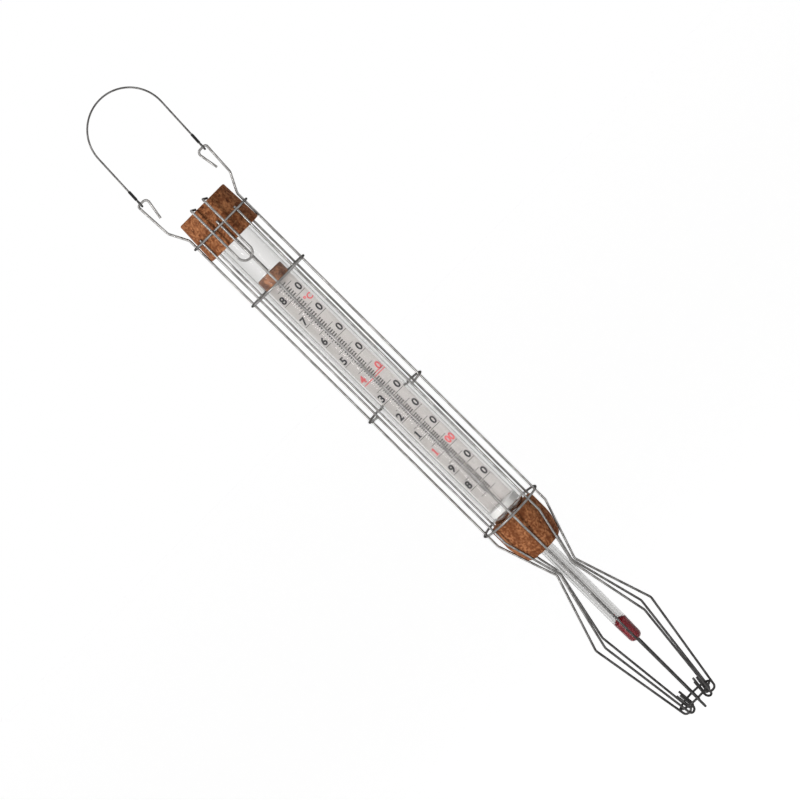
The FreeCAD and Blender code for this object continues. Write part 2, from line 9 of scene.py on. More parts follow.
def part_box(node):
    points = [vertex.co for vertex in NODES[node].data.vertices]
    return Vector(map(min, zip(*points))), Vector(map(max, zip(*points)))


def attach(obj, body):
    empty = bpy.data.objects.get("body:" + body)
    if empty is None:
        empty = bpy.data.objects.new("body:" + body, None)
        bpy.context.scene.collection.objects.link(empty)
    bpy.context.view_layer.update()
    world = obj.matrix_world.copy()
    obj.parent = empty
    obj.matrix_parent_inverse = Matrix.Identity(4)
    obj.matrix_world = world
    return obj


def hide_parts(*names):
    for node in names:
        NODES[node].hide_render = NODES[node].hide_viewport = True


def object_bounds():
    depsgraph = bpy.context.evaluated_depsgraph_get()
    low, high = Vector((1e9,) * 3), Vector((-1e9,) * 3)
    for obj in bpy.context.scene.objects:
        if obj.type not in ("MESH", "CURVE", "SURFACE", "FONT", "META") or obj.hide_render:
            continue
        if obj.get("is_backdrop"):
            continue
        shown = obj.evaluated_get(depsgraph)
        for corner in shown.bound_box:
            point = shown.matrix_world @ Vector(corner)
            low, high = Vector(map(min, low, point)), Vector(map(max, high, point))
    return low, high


bl_info = {
    "name": "Caged Sugar Thermometer",
    "version": (1, 0, 0),
    "blender": (4, 5, 0),
    "location": "View3D > Sidebar > Thermometer",
    "description": "Cork, print, welds, finishes and studio for a glass thermometer in a wire cage",
    "category": "Object",
}

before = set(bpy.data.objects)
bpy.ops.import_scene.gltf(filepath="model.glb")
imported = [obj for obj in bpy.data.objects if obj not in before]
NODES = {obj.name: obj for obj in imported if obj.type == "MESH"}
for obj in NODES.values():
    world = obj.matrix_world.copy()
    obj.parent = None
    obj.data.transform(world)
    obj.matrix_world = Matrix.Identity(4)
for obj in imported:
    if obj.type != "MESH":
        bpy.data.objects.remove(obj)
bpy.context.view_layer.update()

# The thermometer hangs upright: +Z is up, the scale faces -Y, and the cage's axis is the Z axis.
CAGE = "cage"
MM = 0.001

RINGS = ("ring_top", "ring_upper", "ring_middle", "ring_lower")
STEEL_NODES = sorted(name for name in NODES if name.startswith(("cage_wire", "hook_wire")))
RING_LOW, RING_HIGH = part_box("ring_top")
WIRE = RING_HIGH.z - RING_LOW.z
PLATE_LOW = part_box("scale_plate")[0]
LOWER_CORK_LOW, LOWER_CORK_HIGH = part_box("lower_cork")


# ---------------------------------------------------------------- node tools

def set_input(node, name, value):
    """Set a plain value, or link it if it is another node's socket."""
    socket = node.inputs[name]
    if isinstance(value, bpy.types.NodeSocket):
        node.id_data.links.new(value, socket)
    else:
        socket.default_value = value


def add_node(tree, kind, inputs=None, **settings):
    """New node with its settings, and its inputs by name or number."""
    node = tree.nodes.new(kind)
    for name, value in settings.items():
        setattr(node, name, value)
    for name, value in (inputs or {}).items():
        set_input(node, name, value)
    return node


def add_ramp(tree, factor, stops):
    """Ramp with (position, grey) stops."""
    ramp = add_node(tree, "ShaderNodeValToRGB", {"Fac": factor})
    elements = ramp.color_ramp.elements
    while len(elements) < len(stops):
        elements.new(1.0)
    for element, (position, shade) in zip(elements, stops):
        element.position = position
        element.color = grey(shade)
    return ramp.outputs["Color"]


def add_mix(tree, factor, first, second, blend="MIX"):
    """Colour mix of two colours or sockets."""
    node = add_node(tree, "ShaderNodeMix", {0: factor, 6: first, 7: second}, data_type="RGBA",
                    blend_type=blend)
    return node.outputs[2]


def add_math(tree, operation, first, second=0.0):
    """One sum of two numbers or sockets."""
    return add_node(tree, "ShaderNodeMath", {0: first, 1: second}, operation=operation).outputs[0]


def add_range(tree, value, low, high):
    """Value from 0 to 1, stretched to run from low to high."""
    inputs = {"Value": value, "To Min": low, "To Max": high}
    return add_node(tree, "ShaderNodeMapRange", inputs).outputs["Result"]


def new_group(name, inputs, outputs):
    """Empty shader group; inputs and outputs are (name, socket kind, default)."""
    group = bpy.data.node_groups.new(name, "ShaderNodeTree")
    for label, kind, default in inputs:
        socket = group.interface.new_socket(label, in_out="INPUT", socket_type=kind)
        if default is not None:
            socket.default_value = default
    for label, kind in outputs:
        group.interface.new_socket(label, in_out="OUTPUT", socket_type=kind)
    return group, group.nodes.new("NodeGroupInput").outputs, group.nodes.new("NodeGroupOutput")


def colour(rgb, shade=1.0):
    """Colour property, made darker or lighter by a shade, as four numbers."""
    return (*(shade * part for part in rgb), 1.0)


def grey(level):
    """Grey as four numbers."""
    return (level, level, level, 1.0)


def object_coordinates(tree):
    """Place on the piece, in metres."""
    return add_node(tree, "ShaderNodeTexCoord").outputs["Object"]


def new_material(name):
    """Material with one Principled shader; gives the material, its tree and that shader."""
    material = bpy.data.materials.new(name)
    material.use_nodes = True
    return material, material.node_tree, material.node_tree.nodes["Principled BSDF"]


def give(material, *names):
    """Put one material on every slot of these CAD nodes."""
    for name in names:
        data = NODES[name].data
        if not data.materials:
            data.materials.append(material)
        for index in range(len(data.materials)):
            data.materials[index] = material


# ---------------------------------------------------------------- shared surface effects

def surface_grain(name):
    """Streaks or specks of two colours, with their roughness and height."""
    group, given, out = new_group(name, [
        ("Vector", "NodeSocketVector", None),
        ("Stretch", "NodeSocketVector", (1.0, 1.0, 1.0)),
        ("Scale", "NodeSocketFloat", 1000.0),
        ("Contrast", "NodeSocketFloat", 0.5),
        ("Light", "NodeSocketColor", (0.5, 0.5, 0.5, 1.0)),
        ("Dark", "NodeSocketColor", (0.3, 0.3, 0.3, 1.0)),
        ("Smooth", "NodeSocketFloat", 0.2),
        ("Rough", "NodeSocketFloat", 0.4),
    ], [("Color", "NodeSocketColor"), ("Roughness", "NodeSocketFloat"),
        ("Height", "NodeSocketFloat")])
    stretched = add_node(group, "ShaderNodeVectorMath",
                         {0: given["Vector"], 1: given["Stretch"]}, operation="MULTIPLY")
    fine = add_node(group, "ShaderNodeTexNoise", {
        "Vector": stretched.outputs[0], "Scale": given["Scale"], "Detail": 2.0, "Roughness": 0.5})
    broad = add_node(group, "ShaderNodeTexNoise", {
        "Vector": given["Vector"], "Scale": add_math(group, "MULTIPLY", given["Scale"], 0.13),
        "Detail": 2.0})
    centred = add_math(group, "SUBTRACT", fine.outputs["Fac"], 0.5)
    gain = add_math(group, "MULTIPLY", given["Contrast"], 4.0)
    spread = add_math(group, "MULTIPLY", centred, gain)
    drift = add_math(group, "SUBTRACT", broad.outputs["Fac"], 0.5)
    total = add_math(group, "ADD", add_math(group, "ADD", spread, drift), 0.5)
    mask = add_node(group, "ShaderNodeClamp", {"Value": total}).outputs[0]
    set_input(out, "Color", add_mix(group, mask, given["Dark"], given["Light"]))
    set_input(out, "Roughness", add_range(group, mask, given["Rough"], given["Smooth"]))
    set_input(out, "Height", fine.outputs["Fac"])
    return group


def handling_marks(name):
    """Broad soft mask of handling marks and dust, from 0 clean to 1 marked."""
    group, given, out = new_group(name, [
        ("Vector", "NodeSocketVector", None),
        ("Scale", "NodeSocketFloat", 120.0),
        ("Amount", "NodeSocketFloat", 0.5),
    ], [("Mask", "NodeSocketFloat")])
    cloud = add_node(group, "ShaderNodeTexNoise", {
        "Vector": given["Vector"], "Scale": given["Scale"], "Detail": 5.0, "Distortion": 0.6})
    picked = add_node(group, "ShaderNodeMapRange", {
        "Value": cloud.outputs["Fac"], "From Min": 0.48, "From Max": 0.72})
    set_input(out, "Mask", add_math(group, "MULTIPLY", picked.outputs["Result"], given["Amount"]))
    return group


def below_level(name):
    """Mask by height: 1 below the height of full, 0 above the height of none."""
    group, given, out = new_group(name, [
        ("Vector", "NodeSocketVector", None),
        ("Full", "NodeSocketFloat", -0.01),
        ("None", "NodeSocketFloat", 0.0),
    ], [("Mask", "NodeSocketFloat")])
    height = add_node(group, "ShaderNodeSeparateXYZ", {0: given["Vector"]}).outputs["Z"]
    mask = add_node(group, "ShaderNodeMapRange", {
        "Value": height, "From Min": given["Full"], "From Max": given["None"],
        "To Min": 1.0, "To Max": 0.0})
    set_input(out, "Mask", mask.outputs["Result"])
    return group


def effect(tree, build, **values):
    """A shared effect, built the first time, placed in a material's tree; gives its outputs."""
    name = build.__name__
    group = bpy.data.node_groups.get(name) or build(name)
    node = add_node(tree, "ShaderNodeGroup", node_tree=group)
    set_input(node, "Vector", object_coordinates(tree))
    for label, value in values.items():
        set_input(node, label.capitalize(), value)
    return node.outputs


def below(tree, level, fade):
    """Mask of what hangs below a level, at half strength on it."""
    return effect(tree, below_level, full=level - fade / 2, none=level + fade / 2)["Mask"]


def add_bump(tree, shader, height, distance):
    """Bump from a height into the shader's normal."""
    bump = add_node(tree, "ShaderNodeBump", {"Height": height, "Distance": distance})
    set_input(shader, "Normal", bump.outputs["Normal"])


def grain_material(name, relief, **values):
    """Material whose colour and roughness are surface grain, with a relief this deep."""
    material, tree, shader = new_material(name)
    surface = effect(tree, surface_grain, **values)
    set_input(shader, "Base Color", surface["Color"])
    set_input(shader, "Roughness", surface["Roughness"])
    if relief:
        add_bump(tree, shader, surface["Height"], relief)
    return material, shader


# ---------------------------------------------------------------- settings

def length_of(name, text, default, **more):
    """Length setting, kept in metres."""
    return FloatProperty(name=name, description=text, default=default, unit="LENGTH",
                         precision=5, **more)


def colour_of(name, text, default):
    """Colour setting."""
    return FloatVectorProperty(name=name, description=text, default=default, size=3,
                               subtype="COLOR", min=0.0, max=1.0)


class WireSettings(bpy.types.PropertyGroup):
    """Steel wire, its welds and the bail's sleeves."""
    light: colour_of("Light steel", "Drawn wire where it is bright", (0.40, 0.39, 0.38))
    dark: colour_of("Dark steel", "Drawn wire in its die lines", (0.12, 0.115, 0.11))
    # The tarnish is painted shade: the guard's wires below the lower cork are darker in colour,
    # standing in for the darker reflections they show, and they are rougher there.
    tarnish: colour_of("Tarnish", "Shade of the guard's wires, dulled by hot sugar",
                       (0.27, 0.27, 0.275))
    tarnish_drop: length_of("Tarnish drop", "Half tarnished this far under the cork", 28.0 * MM)
    tarnish_fade: length_of("Tarnish fade", "Height over which the tarnish sets in", 50.0 * MM)
    tarnish_rough: FloatProperty(name="Tarnish roughness", description="Added by the tarnish",
                                 default=0.25, subtype="FACTOR")
    bail_shade: FloatProperty(name="Bail shade", description="Darkens the bail's spring wire",
                              default=0.42, subtype="FACTOR")
    bead: length_of("Bead", "Half the width of a weld bead", 0.70 * MM, min=0.0001)
    bead_squeeze: FloatProperty(name="Squeeze", description="Bead's thickness over its width",
                                default=0.8, subtype="FACTOR", min=0.1, max=1.0)
    sleeve: colour_of("Sleeve", "Black plastic sleeve", (0.008, 0.008, 0.008))


class CorkSettings(bpy.types.PropertyGroup):
    """Natural cork."""
    light: colour_of("Light cork", "Grain of the cork", (0.57, 0.230, 0.092))
    dark: colour_of("Dark cork", "Bark and hard streaks", (0.22, 0.066, 0.021))
    pit: colour_of("Pit", "Bottom of a pit", (0.10, 0.03, 0.012))
    # Grey-green that is mixed into the inner cork's colour only, which makes it greyer.
    bloom: colour_of("Bloom", "Grey-green bloom on the cork inside the glass", (0.02, 0.11, 0.14))
    bloomed: FloatProperty(name="Bloomed", description="Amount of that bloom", default=0.31,
                           subtype="FACTOR")
    voxel: length_of("Cell", "Spacing of the cork's mesh", 0.32 * MM, min=0.0001)
    pit_depth: length_of("Pit depth", "Depth of the deepest pits", 0.55 * MM)


class GlassSettings(bpy.types.PropertyGroup):
    """Blown glass, liquid and the pad that the plate stands on."""
    clear: colour_of("Clear", "Glass seen square on", (0.90, 0.895, 0.89))
    # Edge is painted shade: the glass is darkened where it is seen along its wall, standing in for
    # the dark reflections there.
    edge: colour_of("Edge", "Glass seen along its wall", (0.46, 0.465, 0.45))
    # Stem shade is painted shade: the glass below the lower cork is darkened, standing in for the
    # guard wires' dark reflections in the stem, not for thicker glass.
    stem: colour_of("Stem shade", "Darkens the thicker glass of the stem", (0.88, 0.88, 0.88))
    liquid: colour_of("Liquid", "Dyed liquid", (0.16, 0.002, 0.008))
    pad: colour_of("Pad", "White fibre pad", (0.80, 0.80, 0.79))
    liquid_press: length_of("Liquid press", "The liquid runs this far into its glass", 0.02 * MM)
    jacket_wall: length_of("Jacket wall", "Thickness of the jacket", 1.0 * MM)
    jacket_corner: length_of("Shoulder", "Outside radius of the jacket's shoulder", 3.0 * MM)
    stem_wall: length_of("Stem wall", "Thickness of the stem", 0.9 * MM)
    stem_root: length_of("Stem root", "Radius where the stem leaves the jacket", 1.5 * MM)
    bore: length_of("Bore", "Half the width of the capillary's bore", 0.16 * MM)
    bulb_wall: length_of("Bulb wall", "Thickness of the bulb", 0.5 * MM)
    bulb_cone: length_of("Bulb cone", "Height of the cone under the bore", 1.9 * MM)
    bulb_draft: length_of("Bulb draft", "The bulb's foot is this much slimmer", 0.3 * MM)
    bulb_corner: length_of("Bulb corner", "Outside radius of the bulb's foot", 2.2 * MM)


class ScaleSettings(bpy.types.PropertyGroup):
    """Printed scale: degrees against height, and the sizes of its marks."""
    plate: colour_of("Plate", "Opal glass plate", (0.55, 0.525, 0.51))
    black: colour_of("Black ink", "Ink of the black marks", (0.012, 0.012, 0.016))
    red: colour_of("Red ink", "Ink of the red marks", (0.60, 0.09, 0.10))
    first: IntProperty(name="First", description="Lowest degree with a line", default=75)
    last: IntProperty(name="Last", description="Highest degree with a line", default=186)
    base: IntProperty(name="Base", description="Lowest degree with a figure", default=80)
    top: IntProperty(name="Top", description="Highest degree with a figure", default=180)
    water: IntProperty(name="Water mark", description="Degree with red figures", default=100)
    boil: IntProperty(name="Sugar mark", description="Degree marked with red lines", default=140)
    boil_gap: length_of("Gap", "Between the two red lines", 1.2 * MM)
    base_rise: length_of("Base rise", "Base line above the plate's foot", 12.8 * MM)
    step: length_of("Step", "Height of the first ten degrees", 10.503 * MM)
    growth: length_of("Growth", "Each ten degrees are this much taller, halved", 0.140 * MM)
    ten_reach: length_of("Ten reach", "Half the length of a ten degree line", 6.45 * MM)
    five_reach: length_of("Five reach", "Half the length of a five degree line", 4.3 * MM)
    one_reach: length_of("One reach", "Half the length of a one degree line", 1.8 * MM)
    line: length_of("Line", "Thickness of a five or ten degree line", 0.24 * MM)
    tick: length_of("Tick", "Thickness of a one degree line", 0.58 * MM)
    ink: length_of("Ink", "Thickness of the ink", 0.02 * MM)
    figure_height: length_of("Figure height", "Height of a figure", 4.0 * MM)
    figure_width: length_of("Figure width", "Width of a nought", 2.5 * MM)
    figure_place: length_of("Figure place", "Middle of a figure from the axis", 4.9 * MM)
    figure_rise: length_of("Figure rise", "Foot of a figure above its line", 0.75 * MM)


class StageSettings(bpy.types.PropertyGroup):
    """Camera, lamps and floor."""
    turn: FloatProperty(name="Turn", description="Camera to the right of the front",
                        default=math.radians(5), subtype="ANGLE")
    distance: length_of("Distance", "Camera from the axis", 1.6)
    camera_height: length_of("Camera height", "Camera's height", -0.0636)
    aim_height: length_of("Aim height", "Height of the point at the picture's middle", -0.1891)
    aim_side: length_of("Aim side", "That point's place to the right of the axis", 0.70 * MM)
    roll: FloatProperty(name="Roll", description="Turn of the picture about its middle",
                        default=math.radians(45.214), subtype="ANGLE")
    lens: FloatProperty(name="Lens", description="Focal length", default=160.82,
                        subtype="DISTANCE_CAMERA")
    floor_drop: length_of("Floor drop", "Floor below the wire guard's foot", 0.16)
    key: FloatProperty(name="Key", description="Tall soft lamp before the left side", default=5.8,
                       subtype="POWER")
    left: FloatProperty(name="Left", description="Tall lamp behind the left side", default=1.3,
                        subtype="POWER")
    right: FloatProperty(name="Right", description="Tall lamp behind the right side", default=0.4,
                         subtype="POWER")
    ambient: FloatProperty(name="Ambient", description="Light from all round", default=0.20)


SETTINGS = {"wire": WireSettings, "cork": CorkSettings, "glass": GlassSettings,
            "scale": ScaleSettings, "stage": StageSettings}


def settings(group):
    """This scene's settings of one group."""
    return getattr(bpy.context.scene, "thermometer_" + group)


# ---------------------------------------------------------------- making pieces

def new_object(name, data):
    """New object in the scene."""
    piece = bpy.data.objects.new(name, data)
    bpy.context.scene.collection.objects.link(piece)
    return piece


def add_piece(name, mesh, body, material=None):
    """Show a finished mesh, riding on a CAD body, with the material if one is given."""
    if not mesh.polygons:
        raise RuntimeError("%s came out empty" % name)
    if material:
        mesh.materials.clear()
        mesh.materials.append(material)
    piece = new_object(name, mesh)
    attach(piece, body)
    return piece


def merged_copy(node):
    """CAD node's mesh with its loose triangles joined, as a bmesh."""
    copy = bmesh.new()
    copy.from_mesh(NODES[node].data)
    bmesh.ops.remove_doubles(copy, verts=copy.verts, dist=1e-7)
    return copy


def plain_mesh(piece):
    """Mesh of an object with its modifiers done; the object goes."""
    done = piece.evaluated_get(bpy.context.evaluated_depsgraph_get())
    mesh = bpy.data.meshes.new_from_object(done)
    bpy.data.objects.remove(piece)
    return mesh


def mesh_of(name, shape):
    """Mesh of a bmesh; the bmesh goes."""
    mesh = bpy.data.meshes.new(name)
    shape.to_mesh(mesh)
    shape.free()
    return mesh


def remeshed(node, voxel):
    """CAD node's shape as an even closed mesh."""
    piece = new_object(node + "_even", mesh_of(node + "_even", merged_copy(node)))
    remesh = piece.modifiers.new("even", "REMESH")
    remesh.mode = "VOXEL"
    remesh.voxel_size = voxel
    remesh.use_smooth_shade = True
    return plain_mesh(piece)


def run_geometry_nodes(name, points, sizes, tree, values):
    """Put points with their vectors through a geometry tree; gives a plain mesh."""
    mesh = bpy.data.meshes.new(name)
    mesh.from_pydata([tuple(point) for point in points], [], [])
    attribute = mesh.attributes.new("vector", "FLOAT_VECTOR", "POINT")
    for index, size in enumerate(sizes):
        attribute.data[index].vector = size
    piece = new_object(name + "_points", mesh)
    modifier = piece.modifiers.new(name, "NODES")
    modifier.node_group = tree
    for item in tree.interface.items_tree:
        if item.item_type == "SOCKET" and item.in_out == "INPUT" and item.name in values:
            modifier[item.identifier] = values[item.name]
    return plain_mesh(piece)


def new_geometry_tree(name, inputs):
    """Empty geometry tree with named inputs."""
    tree = bpy.data.node_groups.new(name, "GeometryNodeTree")
    tree.interface.new_socket("Geometry", in_out="INPUT", socket_type="NodeSocketGeometry")
    for label, kind in inputs:
        tree.interface.new_socket(label, in_out="INPUT", socket_type=kind)
    tree.interface.new_socket("Geometry", in_out="OUTPUT", socket_type="NodeSocketGeometry")
    return tree, tree.nodes.new("NodeGroupInput").outputs, tree.nodes.new("NodeGroupOutput")


def finish_tree(tree, instances, material, out):
    """End a tree in Realize Instances and Set Material."""
    real = add_node(tree, "GeometryNodeRealizeInstances", {"Geometry": instances})
    painted = add_node(tree, "GeometryNodeSetMaterial",
                       {"Geometry": real.outputs[0], "Material": material})
    set_input(out, 0, painted.outputs[0])


def point_vector(tree):
    """The vector kept on each point."""
    return add_node(tree, "GeometryNodeInputNamedAttribute", {"Name": "vector"},
                    data_type="FLOAT_VECTOR").outputs[0]


# ---------------------------------------------------------------- wires

ALL_ROUND = (1.0, 1.0, 1.0)  # stretch of a grain that is as long as it is wide
BEAD_LEAST, BEAD_MOST = 0.88, 1.08  # a weld bead's size over the bead setting
BEAD_LUMP = 0.35 * MM


def steel_material(name, stretch, scale, shade=1.0, rough=0.34):
    """Drawn stainless wire; stretch is small along the wire, so its lines run that way."""
    look = settings("wire")
    light, dark = colour(look.light, shade), colour(look.dark, shade)
    material, tree, shader = new_material(name)
    lines = effect(tree, surface_grain, stretch=stretch, scale=scale, contrast=0.55, light=light,
                   dark=dark, smooth=rough / 2, rough=rough)
    marks = effect(tree, handling_marks, scale=160.0, amount=0.5)["Mask"]
    worn = add_mix(tree, marks, lines["Color"], dark)
    # Painted shade: the wire's colour is darkened below the lower cork, and its roughness is raised
    # there.
    guard = below(tree, LOWER_CORK_LOW.z - look.tarnish_drop, look.tarnish_fade)
    guard_shaded = add_mix(tree, guard, worn, colour(look.tarnish), "MULTIPLY")
    set_input(shader, "Base Color", guard_shaded)
    dull = add_math(tree, "ADD", lines["Roughness"], add_math(tree, "MULTIPLY", marks, 0.15))
    tarnish = add_math(tree, "MULTIPLY", guard, look.tarnish_rough)
    set_input(shader, "Roughness", add_math(tree, "ADD", dull, tarnish))
    set_input(shader, "Metallic", 1.0)
    set_input(shader, "Specular Tint", grey(0.0))
    add_bump(tree, shader, lines["Height"], 0.004 * MM)
    return material


class THERMOMETER_OT_wires(bpy.types.Operator):
    """Give the cage wires, rings, clip and bail their drawn steel"""
    bl_idname = "thermometer.wires"
    bl_label = "Finish wires"

    def execute(self, context):
        along = steel_material("drawn_wire_upright", (1.0, 1.0, 0.04), 2600.0)
        round_about = steel_material("drawn_wire_ring", (0.10, 0.10, 1.0), 2600.0, rough=0.45)
        springy = steel_material("bail_steel", ALL_ROUND, 220.0, settings("wire").bail_shade)
        give(along, *STEEL_NODES, "cork_clip")
        give(springy, "bail_wire")
        give(round_about, *RINGS, "tip_ring")
        return {"FINISHED"}


def bead_tree():
    """Weld beads: a squeezed, slightly lumpy ball on each point, flat across its vector."""
    tree, given, out = new_geometry_tree("weld_beads", [
        ("Radius", "NodeSocketFloat"), ("Squeeze", "NodeSocketFloat"),
        ("Seed", "NodeSocketInt"), ("Material", "NodeSocketMaterial")])
    ball = add_node(tree, "GeometryNodeMeshIcoSphere",
                    {"Radius": given["Radius"], "Subdivisions": 2})
    smooth = add_node(tree, "GeometryNodeSetShadeSmooth", {"Geometry": ball.outputs[0]})
    turn = add_node(tree, "FunctionNodeAlignRotationToVector", {"Vector": point_vector(tree)},
                    axis="Z")
    size = add_node(tree, "FunctionNodeRandomValue", {"Seed": given["Seed"]}, data_type="FLOAT")
    set_input(size, 2, BEAD_LEAST)
    set_input(size, 3, BEAD_MOST)
    size = size.outputs[1]
    flat = add_math(tree, "MULTIPLY", size, given["Squeeze"])
    scale = add_node(tree, "ShaderNodeCombineXYZ", {0: size, 1: size, 2: flat})
    beads = add_node(tree, "GeometryNodeInstanceOnPoints", {
        "Points": given["Geometry"], "Instance": smooth.outputs[0],
        "Rotation": turn.outputs[0], "Scale": scale.outputs[0]})
    real = add_node(tree, "GeometryNodeRealizeInstances", {"Geometry": beads.outputs[0]})
    place = add_node(tree, "GeometryNodeInputPosition")
    lumps = add_node(tree, "ShaderNodeTexNoise", {"Vector": place.outputs[0], "Scale": 1400.0})
    swell = add_math(tree, "SUBTRACT", lumps.outputs["Fac"], 0.5)
    reach = add_math(tree, "MULTIPLY", swell, BEAD_LUMP)
    normal = add_node(tree, "GeometryNodeInputNormal")
    push = add_node(tree, "ShaderNodeVectorMath", {0: normal.outputs[0], "Scale": reach},
                    operation="SCALE")
    moved = add_node(tree, "GeometryNodeSetPosition",
                     {"Geometry": real.outputs[0], "Offset": push.outputs[0]})
    finish_tree(tree, moved.outputs[0], given["Material"], out)
    return tree


def weld_places():
    """Where each wire crosses a ring, with the direction in which the two were squeezed."""
    places = []
    for wire in STEEL_NODES:
        low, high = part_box(wire)
        outward = Vector((low.x + high.x, low.y + high.y, 0.0)).normalized()
        for ring in (*RINGS, "tip_ring"):
            ring_low, ring_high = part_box(ring)
            if wire == "cage_wire_front" and ring_low.y > -ring_high.x + WIRE:
                continue
            touch = ring_high.x if ring == "tip_ring" else ring_high.x - WIRE
            level = Vector((0.0, 0.0, (ring_low.z + ring_high.z) / 2))
            places.append((outward * touch + level, outward))
    return places


class THERMOMETER_OT_welds(bpy.types.Operator):
    """Put a weld bead where each wire crosses a ring"""
    bl_idname = "thermometer.welds"
    bl_label = "Weld beads"

    def execute(self, context):
        look = settings("wire")
        places = weld_places()
        metal = steel_material("weld_steel", ALL_ROUND, 1500.0)
        mesh = run_geometry_nodes("weld_beads", [place for place, _ in places],
                                  [outward for _, outward in places], bead_tree(), {
                                      "Radius": look.bead, "Squeeze": look.bead_squeeze,
                                      "Seed": 7, "Material": metal})
        add_piece("weld_beads", mesh, CAGE)
        return {"FINISHED"}


class THERMOMETER_OT_sleeves(bpy.types.Operator):
    """Give the bail's two sleeves their satin black plastic"""
    bl_idname = "thermometer.sleeves"
    bl_label = "Finish sleeves"

    def execute(self, context):
        look = settings("wire")
        material, shader = grain_material(
            "sleeve_plastic", 0.03 * MM, stretch=(1.0, 1.0, 0.3), scale=3200.0, contrast=0.5,
            light=colour(look.sleeve, 2.2), dark=colour(look.sleeve), smooth=0.36, rough=0.55)
        set_input(shader, "Specular IOR Level", 0.15)
        give(material, "bail_sleeve_left", "bail_sleeve_right")
        return {"FINISHED"}


# ---------------------------------------------------------------- cork and pad

# Each pattern's number of waves in a metre.
PITS, PORES, CRUMBS = 620.0, 1500.0, 2300.0
CRACKS_ACROSS, CRACKS_UP, CRACKED_AREAS = 300.0, 750.0, 180.0
TUFTS, HAIRS = 700.0, 2600.0

PIT_START, PIT_SLOPE = 0.52, 0.35
CRACK_SHARPNESS, AREA_SHARPNESS = 9.0, 3.0
CRACK_DEPTH, CRUMB_DEPTH = 0.45, 0.22  # of the pit depth
PAD_CELL, TUFT_DEPTH, HAIR_DEPTH = 0.3 * MM, 0.28 * MM, 0.10 * MM


def clamped(value):
    """Value kept from 0 to 1."""
    return min(max(value, 0.0), 1.0)


def lift(place, waves):
    """Noise from 0 to 1 at a place."""
    return 0.5 + 0.5 * noise.noise(place * waves)


def skin_of(mesh):
    """Each vertex with its normal before anything moves."""
    normals = [normal.vector.copy() for normal in mesh.vertex_normals]
    return zip(mesh.vertices, normals)


def pit_mask(place):
    """Pits and cracks of cork at a place: 0 on the skin, 1 at the bottom of a pit."""
    spots = noise.noise(place * PITS) + 0.5 * noise.noise(place * PORES)
    deep = clamped((spots - PIT_START) / PIT_SLOPE)
    across = Vector((place.x * CRACKS_ACROSS, place.y * CRACKS_ACROSS, place.z * CRACKS_UP))
    line = clamped(1.0 - abs(noise.noise(across)) * CRACK_SHARPNESS)
    crack = line * clamped(noise.noise(place * CRACKED_AREAS) * AREA_SHARPNESS)
    return max(deep, CRACK_DEPTH * crack)


def carve_cork(mesh, depth):
    """Sink the pits into a cork's skin, and keep their mask for its material."""
    mask = mesh.attributes.new("pit", "FLOAT", "POINT")
    for vertex, normal in skin_of(mesh):
        pit = pit_mask(vertex.co)
        mask.data[vertex.index].value = pit
        vertex.co -= normal * depth * (pit + CRUMB_DEPTH * lift(vertex.co, CRUMBS))


def cork_material(name, bloom):
    """Reddish-brown natural cork, with this much grey-green mixed into its colour."""
    look = settings("cork")
    material, tree, shader = new_material(name)
    place = object_coordinates(tree)
    cells = effect(tree, surface_grain, stretch=(1.0, 1.0, 0.8), scale=900.0, contrast=0.85,
                   light=colour(look.light), dark=colour(look.dark), smooth=0.72, rough=0.92)
    flecks = add_node(tree, "ShaderNodeTexVoronoi", {"Vector": place, "Scale": 750.0},
                      feature="SMOOTH_F1")
    fleck = add_ramp(tree, flecks.outputs["Distance"], [(0.10, 1.0), (0.30, 0.0)])
    warm = add_mix(tree, add_math(tree, "MULTIPLY", fleck, 0.55), cells["Color"],
                   colour(look.light, 1.35))
    streaks = add_node(tree, "ShaderNodeTexNoise", {
        "Vector": place, "Scale": 260.0, "Detail": 6.0, "Distortion": 1.2})
    streak = add_ramp(tree, streaks.outputs["Fac"], [(0.49, 0.0), (0.60, 0.80)])
    barky = add_mix(tree, streak, warm, colour(look.dark))
    pit = add_node(tree, "ShaderNodeAttribute", attribute_name="pit").outputs["Fac"]
    pitted = add_mix(tree, pit, barky, colour(look.pit))
    set_input(shader, "Base Color", add_mix(tree, bloom, pitted, colour(look.bloom)))
    set_input(shader, "Roughness", cells["Roughness"])
    set_input(shader, "Specular IOR Level", 0.25)
    add_bump(tree, shader, cells["Height"], 0.12 * MM)
    return material


class THERMOMETER_OT_corks(bpy.types.Operator):
    """Carve the three corks and give them their grain"""
    bl_idname = "thermometer.corks"
    bl_label = "Carve corks"

    def execute(self, context):
        look = settings("cork")
        outside = cork_material("natural_cork", 0.0)
        # The inner cork's material has the grey-green mixed into its colour.
        inside = cork_material("bloomed_cork", look.bloomed)
        for node in ("top_cork", "lower_cork", "inner_cork"):
            material = inside if node == "inner_cork" else outside
            mesh = remeshed(node, look.voxel)
            carve_cork(mesh, look.pit_depth)
            piece = add_piece(node + "_carved", mesh, CAGE, material)
            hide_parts(node)
        return {"FINISHED"}


class THERMOMETER_OT_pad(bpy.types.Operator):
    """Ruffle the white fibre pad under the scale plate"""
    bl_idname = "thermometer.pad"
    bl_label = "Fibre pad"

    def execute(self, context):
        pad = settings("glass").pad
        mesh = remeshed("scale_seat", PAD_CELL)
        for vertex, normal in skin_of(mesh):
            tuft, hair = lift(vertex.co, TUFTS), lift(vertex.co, HAIRS)
            vertex.co -= normal * (TUFT_DEPTH * tuft + HAIR_DEPTH * hair)
        material, shader = grain_material(
            "white_fibre", 0.15 * MM, stretch=(1.0, 1.0, 3.0), scale=2400.0, contrast=0.8,
            light=colour(pad), dark=colour(pad, 0.86), smooth=0.85, rough=1.0)
        set_input(shader, "Sheen Weight", 0.3)
        piece = add_piece("fibre_pad", mesh, CAGE, material)
        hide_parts("scale_seat")
        return {"FINISHED"}


# ---------------------------------------------------------------- glass and liquid

